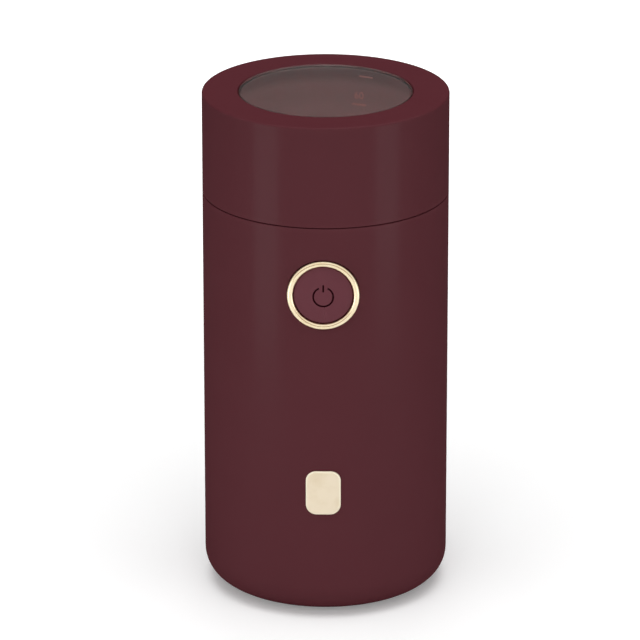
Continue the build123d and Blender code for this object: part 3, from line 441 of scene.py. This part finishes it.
# Rotor: a ground steel shaft with a laminated core, lacquered copper winding, copper
# commutator bars and a black moulded fan, all pressed on in that order.


def lacquered(start, place):
    strands = streaks(start, place, grain=(2400.0, 2400.0, 260.0), detail=2.0)
    cloud = start.noise(place, scale=300.0, detail=3.0)
    return {
        "Base Color": strands.between(0.35, 0.65).blend(swatch(132, 60, 30), swatch(204, 118, 66)),
        "Roughness": 0.28 + cloud * 0.22,
        "Relief": (strands, 0.12 * MM),
    }


def turned_bars(start, place):
    height = place.split()[2]
    rings = start.node("ShaderNodeTexNoise", {"noise_dimensions": "1D"}, {"W": height, "Scale": 9000.0})
    cloud = start.noise(place, scale=500.0, detail=4.0)
    return {
        "Base Color": cloud.between(0.35, 0.8).blend(swatch(206, 128, 82), swatch(150, 84, 52)),
        "Roughness": 0.2 + rings * 0.2 + cloud * 0.1,
        "Relief": (rings, 0.01 * MM),
    }


winding = finish("lacquered_winding", {"Metallic": 1.0}, lacquered)
bars = finish("copper_bars", {"Metallic": 1.0}, turned_bars)
ground_steel = finish(
    "ground_steel",
    {"Metallic": 1.0},
    plated(swatch(190, 192, 196), swatch(172, 172, 172), grain=(300.0, 300.0, 7000.0), roughness=0.16),
)
dress(ground_steel, "motor_shaft")
dress(winding, "rotor_winding")
dress(bars, "commutator")
dress(black_plastic, "cooling_fan")

# Bowl carrier: a black moulded frame with the deck, the neck and the four legs. The motor
# hangs under it on rubber bushes and two screws, and it drops into the shell from above.


def rubber_skin(colour, bloom):
    """Moulded rubber, dull and a little dusty."""

    def recipe(start, place):
        bloom_spots = start.noise(place, scale=240.0, detail=6.0)
        skin = start.noise(place, scale=2200.0, detail=2.0)
        return {
            "Base Color": bloom_spots.between(0.45, 0.75).blend(colour, bloom),
            "Roughness": 0.68 + bloom_spots * 0.2,
            "Relief": (skin, 0.025 * MM),
        }

    return recipe


black_rubber = finish(
    "black_rubber", {"Specular IOR Level": 0.3}, rubber_skin(swatch(25, 25, 25), swatch(42, 41, 40))
)
dress(black_plastic, "bowl_carrier")
dress(black_rubber, "mount_bushes")
dress(zinc, "mount_screws")

# Lid interlock: a natural white acetal pin on a fine spring in the carrier's tower, over
# a small black snap switch with its own white plunger.
acetal = finish(
    "white_acetal",
    {"Subsurface Weight": 0.12, "Subsurface Radius": (1.2 * MM, 1.1 * MM, 1.0 * MM)},
    spark_texture(
        swatch(226, 224, 218), swatch(214, 210, 202), scale=1800.0, depth=0.01 * MM, roughness=0.32
    ),
)
dress(acetal, "interlock_pin", "interlock_plunger")
dress(zinc, "interlock_spring")
dress(black_plastic, "interlock_switch")

# Circuit board: green solder mask over etched tracks, screwed to posts on the base plate,
# with a boxed capacitor and a white screw terminal soldered on.


def solder_mask(start, place):
    tracks = start.node(
        "ShaderNodeTexBrick",
        {"offset": 0.35, "squash": 0.7},
        {"Vector": place, "Scale": 240.0, "Mortar Size": 0.035, "Brick Width": 1.1, "Row Height": 0.45},
    ).out("Fac")
    weave = start.noise(place, scale=1500.0, detail=2.0)
    return {
        "Base Color": tracks.blend(swatch(22, 92, 52), swatch(58, 134, 84)),
        "Roughness": 0.3 + weave * 0.12,
        "Relief": (tracks + weave * 0.1, 0.05 * MM),
    }


def boxed_resin(start, place):
    cloud = start.noise(place, scale=300.0, detail=4.0)
    return {
        "Base Color": cloud.blend(swatch(214, 166, 42), swatch(226, 184, 66)),
        "Roughness": 0.26 + cloud * 0.12,
        "Relief": (cloud, 0.02 * MM),
    }


board_green = finish("solder_mask", {}, solder_mask)
capacitor_yellow = finish("capacitor_box", {}, boxed_resin)
dress(board_green, "circuit_board")
dress(capacitor_yellow, "suppressor_capacitor")
dress(acetal, "terminal_block")
dress(zinc, "board_screws")

# Base plate: a textured black cover with vents, held by four screws that go up through
# the shell's floor into the carrier's legs, and four rubber feet glued in its recesses.
dress(black_plastic, "base_plate")
dress(zinc, "base_screws")
dress(black_rubber, "rubber_feet")

# Cord gland: a black bush with a rounded flange that snaps into the back wall.
# Its bore is left open for a supply cord.
dress(black_plastic, "cord_gland")

# Button bezel: a turned brass ring with a rounded crown, plated pale gold and polished,
# and pressed into the shell's boss by its sleeve.


def gold_plate(pale, deep, roughness, grain, depth):
    """Pale gold plating with fine polish or brush marks."""

    def recipe(start, place):
        marks = streaks(start, place, grain)
        cloud = start.noise(place, scale=150.0, detail=3.0)
        return {
            "Base Color": cloud.between(0.35, 0.7).blend(pale, deep),
            "Roughness": roughness + marks * 0.08,
            "Relief": (marks, depth),
        }

    return recipe


polished_gold = finish(
    "polished_gold",
    {"Metallic": 1.0},
    gold_plate(
        swatch(249, 233, 199),
        swatch(245, 226, 187),
        roughness=0.22,
        grain=(1500.0, 1500.0, 1500.0),
        depth=0.002 * MM,
    ),
)
dress(polished_gold, "button_bezel")

# Start button: a burgundy cap a shade lighter than the body, moulded and coated, with a
# power sign engraved in its face; the groove is near black, a dark fill that is also painted shade in
# it.


def button_sign(start, size):
    ring = start.node(
        "GeometryNodeCurveArc",
        {"mode": "RADIUS"},
        {
            "Resolution": 48,
            "Radius": size["Radius"],
            "Start Angle": radians(90) + size["Gap"] * 0.5,
            "Sweep Angle": radians(360) - size["Gap"],
        },
    )
    low = start.join(Y=size["Bar low"])
    high = start.join(Y=size["Bar high"])
    bar = start.node("GeometryNodeCurvePrimitiveLine", None, {"Start": low, "End": high})
    strokes = start.node("GeometryNodeJoinGeometry", None, {0: [ring, bar]})
    cutter = round_wire(start, strokes, sides=16, radius=size["Stroke"], ends=True)
    place = start.join(Y=size["Face"], Z=size["Middle"])
    return start.node(
        "GeometryNodeTransform",
        None,
        {"Geometry": cutter, "Translation": place, "Rotation": (radians(90), 0.0, 0.0)},
    )


def fill_with_painted_shade(start, place):
    dust = start.noise(place, scale=2600.0, detail=3.0)
    return {
        # Near-black groove colour: a dark fill, and painted shade in the recess.
        "Base Color": dust.blend(swatch(34, 5, 10), swatch(46, 12, 18)),
        "Roughness": 0.6 + dust * 0.2,
        "Relief": (dust, 0.01 * MM),
    }


def smooth_by_angle(mesh, angle):
    """Smooth shading, with sharp edges where faces meet at more than this angle."""
    mesh.polygons.foreach_set("use_smooth", [True] * len(mesh.polygons))
    mesh.set_sharp_from_angle(angle=angle)


button_coat = finish(
    "button_coat",
    {"Specular IOR Level": 0.0, "Coat Weight": 0.022, "Coat IOR": 4.0, "Coat Roughness": 0.25},
    soft_touch(swatch(98, 51, 59), swatch(105, 58, 66), ()),
)
groove_fill_with_painted_shade = finish("sign_groove_fill_and_shade", {"Specular IOR Level": 0.0}, fill_with_painted_shade)
button_low, button_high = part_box("power_button")
button_middle = (button_low.z + button_high.z) / 2
groove_lift = 0.02 * MM
sign_drop = 0.7 * MM
weld_gap = 0.001 * MM
sign = node_mesh(
    "power_sign_cutter",
    {
        "Radius": 3.8 * MM,
        "Gap": radians(52),
        "Stroke": 0.34 * MM,
        "Bar low": 1.9 * MM,
        "Bar high": 4.75 * MM,
        "Face": button_low.y + groove_lift,
        "Middle": button_middle - sign_drop,
    },
    button_sign,
    groove_fill_with_painted_shade,
)
cap_mesh = bpy.data.meshes.new("start_button_cap")
shape = bmesh.new()
shape.from_mesh(cad["power_button"].data)
bmesh.ops.remove_doubles(shape, verts=shape.verts, dist=weld_gap)
shape.to_mesh(cap_mesh)
shape.free()
cap_mesh.materials.clear()
cap_mesh.materials.append(button_coat)
cap = put("start_button_cap", cap_mesh)
engrave = cap.modifiers.new("engrave", "BOOLEAN")
engrave.operation = "DIFFERENCE"
engrave.solver = "EXACT"
engrave.material_mode = "TRANSFER"
engrave.object = sign
engraved = plain_mesh(cap)
cap.modifiers.remove(engrave)
cap.data = engraved
smooth_by_angle(engraved, radians(28))
bpy.data.objects.remove(sign)
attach(cap, "button")
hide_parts("power_button")

# Start switch behind the button: a return spring, and a black snap switch with a white
# plunger, gripped by the lips of a bracket screwed to the shell.


def coiled_wire(start, size):
    coil = start.node(
        "GeometryNodeCurveSpiral",
        None,
        {
            "Resolution": 32,
            "Rotations": size["Turns"],
            "Start Radius": size["Radius"],
            "End Radius": size["Radius"],
            "Height": size["Climb"],
        },
    )
    wire = round_wire(start, coil, sides=10, radius=size["Wire"], ends=True)
    place = start.join(Y=size["Near"], Z=size["Middle"])
    return start.node(
        "GeometryNodeTransform",
        None,
        {"Geometry": wire, "Translation": place, "Rotation": (radians(-90), 0.0, 0.0)},
    )


spring_low, spring_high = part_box("button_spring")
spring_wire = 0.35 * MM
spring_length = spring_high.y - spring_low.y
spring = node_mesh(
    "return_spring",
    {
        "Turns": 4.0,
        "Radius": spring_high.x - spring_wire,
        "Wire": spring_wire,
        "Climb": spring_length - 2 * spring_wire,
        "Near": spring_low.y + spring_wire,
        "Middle": button_middle,
    },
    coiled_wire,
    zinc,
)
smooth_by_angle(spring.data, radians(50))
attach(spring, "grinder_body")
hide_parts("button_spring")
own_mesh(spring)
dress(zinc, "bracket_screws")
dress(black_plastic, "switch_bracket", "start_switch")
dress(acetal, "start_plunger")

# Badge plate: a small bare plate of pale gold brass, brushed and bent to the body, with a
# pale band painted along its outline, a painted highlight on its bevel. It is glued to the front.
badge_low, badge_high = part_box("badge_plate")
badge_corner = 4.0 * MM
highlight_inner = badge_corner - 0.65 * MM
highlight_outer = badge_corner - 0.4 * MM
badge_face = gold_plate(
    swatch(241, 227, 202),
    swatch(233, 217, 188),
    roughness=0.3,
    grain=(3800.0, 3800.0, 120.0),
    depth=0.004 * MM,
)


def length(one, other):
    """Length of the long side over two short sides at a right angle."""
    return (one * one + other * other).maths("SQRT")


def painted_rim_highlight(start, place):
    """Brushed face, and a painted highlight along the plate's rounded outline."""
    surface = badge_face(start, place)
    across, _, up = place.split()
    past = []
    for offset, low, high in ((across, badge_low.x, badge_high.x), (up, badge_low.z, badge_high.z)):
        from_middle = (offset - (low + high) / 2).maths("ABSOLUTE")
        past.append((from_middle - ((high - low) / 2 - badge_corner)).maths("MAXIMUM", 0.0))
    # The pale colour along the outline is a painted highlight on the bevel.
    edge = length(*past).between(highlight_inner, highlight_outer)
    surface["Base Color"] = edge.blend(surface["Base Color"], swatch(255, 246, 220))
    return surface


satin_gold = finish("satin_gold", {"Metallic": 1.0}, painted_rim_highlight)
dress(satin_gold, "badge_plate")

# Grinding bowl: a deep drawn stainless cup with a folded rim, brushed on a lathe, with a
# rubber shaft seal snapped into its floor.


def lathe_brushed(start, place):
    x, y, z = place.split()
    track = start.join(X=length(x, y), Y=z)
    lines = start.noise(track, scale=5200.0, detail=4.0)
    cloud = start.noise(place, scale=60.0, detail=3.0)
    return {
        "Base Color": cloud.blend(swatch(196, 196, 197), swatch(212, 211, 210)),
        "Roughness": 0.2 + lines * 0.18,
        "Relief": (lines, 0.006 * MM),
    }


drawn_steel = finish("lathe_brushed_steel", {"Metallic": 1.0}, lathe_brushed)
dress(drawn_steel, "grinding_bowl")
dress(black_rubber, "shaft_seal")

# Blade, collar and nut: a pressed stainless blade with raised wings and ground leading
# edges, clamped between a collar on the shaft and a domed nut.
blade_steel = finish(
    "ground_blade_steel",
    {"Metallic": 1.0},
    plated(swatch(204, 205, 207), swatch(190, 190, 190), grain=(5200.0, 420.0, 420.0), roughness=0.18),
)
dress(blade_steel, "blade", "blade_collar", "blade_nut")

# Lid: a burgundy cover over a smoked clear cup, whose raised top is the window. The cup is
# heat staked to the cover, and a silicone ring in it seals on the bowl's rim.


def smoked(start, place):
    haze = start.noise(place, scale=55.0, detail=4.0)
    return {
        "Base Color": haze.blend(swatch(222, 204, 202), swatch(228, 211, 209)),
        "Roughness": 0.025 + haze * 0.02,
    }


def frosted_wall(material):
    """Mixes a frosted finish into the clear one, on the cup's wall but not on its window, with painted
    shade on the wall.
    """
    tree = material.node_tree
    start = Socket(tree)
    place = start.node("ShaderNodeTexCoord").out("Object")
    x, y, z = place.split()
    frost = start.noise(place, scale=700.0, detail=4.0)
    # The wall darkens upwards, then turns dark red in a band under the cover's rim: both are painted
    # shade where less light reaches the wall.
    wall_painted_darker_upwards = z.between(*upward_shade_heights).blend(swatch(206, 148, 149), swatch(184, 121, 122))
    painted_shade_under_rim = z.between(*rim_shade_heights) * (0.9 + frost * 0.2)
    wall = start.node(
        "ShaderNodeBsdfPrincipled",
        None,
        {
            "Base Color": painted_shade_under_rim.blend(wall_painted_darker_upwards, swatch(130, 38, 36)),
            "Roughness": 0.4 + frost * 0.1,
        },
    )
    clear = Socket(tree, tree.nodes["Principled BSDF"].outputs[0])
    share = length(x, y).between(*frost_radii) * frost_share
    mixed = start.node("ShaderNodeMixShader", None, {0: share, 1: clear, 2: wall})
    tree.links.new(mixed.socket, tree.nodes["Material Output"].inputs["Surface"])


def silicone_skin(start, place):
    cloud = start.noise(place, scale=260.0, detail=3.0)
    return {
        "Base Color": cloud.blend(swatch(196, 192, 188), swatch(206, 203, 198)),
        "Roughness": 0.42 + cloud * 0.16,
        "Relief": (cloud, 0.02 * MM),
    }


frost_share = 0.85
frost_radii = (32.8 * MM, 34.6 * MM)
# Heights of the painted shade on the cup's wall.
upward_shade_heights = (176.0 * MM, 188.0 * MM)
rim_shade_heights = (189.5 * MM, 194.0 * MM)
smoked_clear = finish("smoked_clear", {"Transmission Weight": 0.98, "IOR": 1.4}, smoked)
frosted_wall(smoked_clear)
silicone = finish(
    "silicone",
    {"Subsurface Weight": 0.3, "Subsurface Radius": (1.5 * MM, 1.4 * MM, 1.3 * MM)},
    silicone_skin,
)
dress(smoked_clear, "lid_liner")
dress(silicone, "lid_seal")

# Fill marks: two level lines and a plain number, printed in salmon ink on the inside of the
# clear cup's back wall, where they show through the window.


def ink_film(start, place):
    screen = start.noise(place, scale=1400.0, detail=3.0)
    return {
        "Base Color": screen.blend(swatch(250, 150, 134), swatch(255, 168, 152)),
        "Roughness": 0.5 + screen * 0.2,
    }


ink = finish("printed_ink", {"Specular IOR Level": 0.3}, ink_film)
wall_radius = 35.2 * MM
ink_film_thickness = 0.06 * MM
mark_angle = 0.36
mark_low = 182.05 * MM
number_low = mark_low + 2.4 * MM


def level_lines(start, size):
    block = start.join(X=size["Length"], Y=size["Film"], Z=size["Thickness"])
    line = start.node(
        "GeometryNodeMeshCube",
        None,
        {"Size": block, "Vertices X": 17, "Vertices Y": 2, "Vertices Z": 2},
    )
    levels = start.node(
        "GeometryNodeMeshLine",
        {"mode": "OFFSET"},
        {
            "Count": size["Count"],
            "Start Location": start.join(Z=size["Low"]),
            "Offset": start.join(Z=size["Pitch"]),
        },
    )
    lines = start.node("GeometryNodeInstanceOnPoints", None, {"Points": levels, "Instance": line})
    lines = start.node("GeometryNodeRealizeInstances", None, {0: lines})
    across, inward, up = start.node("GeometryNodeInputPosition").split()
    turn = across / size["Wall"] + size["Angle"] + (up - size["Low"]) * size["Lean"]
    reach = size["Wall"] - size["Film"] + inward
    bent = start.join(X=reach * turn.maths("SINE"), Y=reach * turn.maths("COSINE"), Z=up)
    return start.node("GeometryNodeSetPosition", None, {"Geometry": lines, "Position": bent})


marks = node_mesh(
    "fill_level_lines",
    {
        "Length": 5.8 * MM,
        "Film": ink_film_thickness,
        "Thickness": 0.55 * MM,
        "Pitch": 11.6 * MM,
        "Low": mark_low,
        "Count": 2,
        "Wall": wall_radius,
        "Angle": mark_angle,
        "Lean": 7.3,
    },
    level_lines,
    ink,
)
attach(marks, "lid")

letters = bpy.data.curves.new("fill_number", "FONT")
letters.body = "60"
letters.size = 4.0 * MM
letters.extrude = ink_film_thickness / 2
letters.align_x = "CENTER"
flat = put("fill_number_flat", letters)
number_mesh = plain_mesh(flat)
bpy.data.objects.remove(flat)
for point in number_mesh.vertices:
    turn = point.co.x / wall_radius + mark_angle
    reach = wall_radius - ink_film_thickness - point.co.z
    point.co = (reach * sin(turn), reach * cos(turn), number_low + point.co.y)
number_mesh.materials.clear()
number_mesh.materials.append(ink)
number = put("fill_number", number_mesh)
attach(number, "lid")

# Studio: a pale paper floor under an even white surround, with wide soft lamps above, in front
# and behind. A small soft lamp low on each side of the front makes the upright bands on the body.


def grey(level):
    """Neutral colour in linear values."""
    return (level, level, level, 1.0)


def pale_paper(start, place):
    """Pale paper with an added glow that makes it look white, weaker near the object: painted shade
    round where it stands.
    """
    fibre = start.noise(place, scale=30.0, detail=3.0)
    rays = start.node("ShaderNodeLightPath")
    front = (0.0 - place.split()[1]).between(-0.05, 0.1)
    mirrored_share = 0.4
    lift = rays.out("Is Camera Ray") + rays.out("Is Transmission Ray")
    lift = (lift + rays.out("Is Glossy Ray") * front * mirrored_share).maths("MINIMUM", 1.0)
    away = start.node("ShaderNodeVectorMath", {"operation": "LENGTH"}, {0: place}, "Value")
    near_object, open_floor = 0.12, 0.7
    # The weaker glow near the object is painted shade on the floor around it.
    white = away.between(near_object, open_floor).blend(grey(0.2), grey(0.55))
    return {
        "Base Color": fibre.blend(grey(0.88), grey(0.9)),
        "Roughness": 0.85 + fibre * 0.1,
        "Emission Color": lift.blend(grey(0.0), white),
    }


floor_half = 4.0
floor_mesh = bpy.data.meshes.new("floor")
corners = [(x * floor_half, y * floor_half, 0) for x, y in ((-1, -1), (1, -1), (1, 1), (-1, 1))]
floor_mesh.from_pydata(corners, [], [(0, 1, 2, 3)])
floor = put("floor", floor_mesh)
paper = finish("pale_paper", {"Specular IOR Level": 0.0, "Emission Strength": 1.0}, pale_paper)
floor_mesh.materials.append(paper)

world = bpy.data.worlds.new("studio")
world.use_nodes = True
bpy.context.scene.world = world
surround = Socket(world.node_tree)
rays = surround.node("ShaderNodeLightPath")
direct = rays.out("Is Camera Ray")
through = rays.out("Is Transmission Ray")
mirrored = rays.out("Is Glossy Ray") * (1.0 - through)
scattered = 1.0 - direct - through - mirrored
_, along, up = surround.node("ShaderNodeTexCoord").split()
facing = 0.0 - along
front = facing.between(-0.85, 0.3)
low_back = (1.0 - front) * (1.0 - up.between(0.35, 0.6))
card_height = 0.2
off_level = (up - card_height).maths("ABSOLUTE")
dark_card = facing.between(0.5, 0.8) * (1.0 - off_level.between(0.12, 0.26)) * mirrored
ambient = 0.4
veil_cut = 0.66
card_shade = 0.6
gloss_behind = 0.1
fill_behind = 0.45
warm_card = (1.0, 0.78, 0.58, 1.0)
strength = direct + through * (1.0 - low_back * veil_cut)
strength = strength + mirrored * (gloss_behind + front * (1 - gloss_behind)) - dark_card * card_shade
strength = strength + scattered * (fill_behind + front * (1 - fill_behind)) * ambient
tint = dark_card.blend(grey(1.0), warm_card)
backdrop = world.node_tree.nodes["Background"]
world.node_tree.links.new(tint.socket, backdrop.inputs["Color"])
world.node_tree.links.new(strength.socket, backdrop.inputs["Strength"])


def soft_lamp(name, place, aim, size, power, mirrored=False, seen_through=False):
    """Flat soft lamp that points at a place and doesn't show to the camera."""
    lamp = bpy.data.lights.new(name, "AREA")
    lamp.shape = "RECTANGLE"
    lamp.size, lamp.size_y = size
    lamp.energy = power
    holder = put(name, lamp)
    holder.visible_camera = False
    holder.visible_glossy = mirrored
    holder.visible_transmission = seen_through
    holder.location = place
    holder.rotation_euler = (Vector(aim) - Vector(place)).to_track_quat("-Z", "Y").to_euler()


def around(azimuth, distance, height):
    """Point on the floor plan, from the front round towards +X, at a height."""
    turn = radians(azimuth)
    return (distance * sin(turn), -distance * cos(turn), height)


middle = Vector((0.0, 0.0, 0.1))
soft_lamp("overhead", (0.0, -0.25, 1.6), middle, size=(1.3, 1.3), power=16.0, seen_through=True)
soft_lamp("front", (0.0, -1.7, 1.1), middle, size=(1.2, 1.0), power=7.0)
soft_lamp("back", (0.0, 1.7, 0.55), middle, size=(1.2, 0.8), power=9.0)
strip_middle = 0.08
strip_height = 0.15
for name, azimuth, distance, strip_width, power in (
    ("left_strip", -52.5, 0.32, 0.135, 0.092),
    ("right_strip", 57.3, 0.4, 0.165, 0.105),
):
    soft_lamp(
        name,
        around(azimuth, distance, strip_middle),
        (0.0, 0.0, strip_middle),
        size=(strip_width, strip_height),
        power=power,
        mirrored=True,
        seen_through=True,
    )

camera = bpy.data.cameras.new("camera")
camera.lens = 290.8
camera.sensor_width = 36.0
camera.shift_x = -0.0088
camera.shift_y = 0.0235
view = put("camera", camera)
azimuth, elevation, distance = radians(1.1), radians(20.28), 2.014
back = Vector((sin(azimuth) * cos(elevation), -cos(azimuth) * cos(elevation), sin(elevation)))
view.location = middle + back * distance
view.rotation_euler = (-back).to_track_quat("-Z", "Y").to_euler()
bpy.context.scene.camera = view
bpy.context.scene.view_settings.view_transform = "Standard"
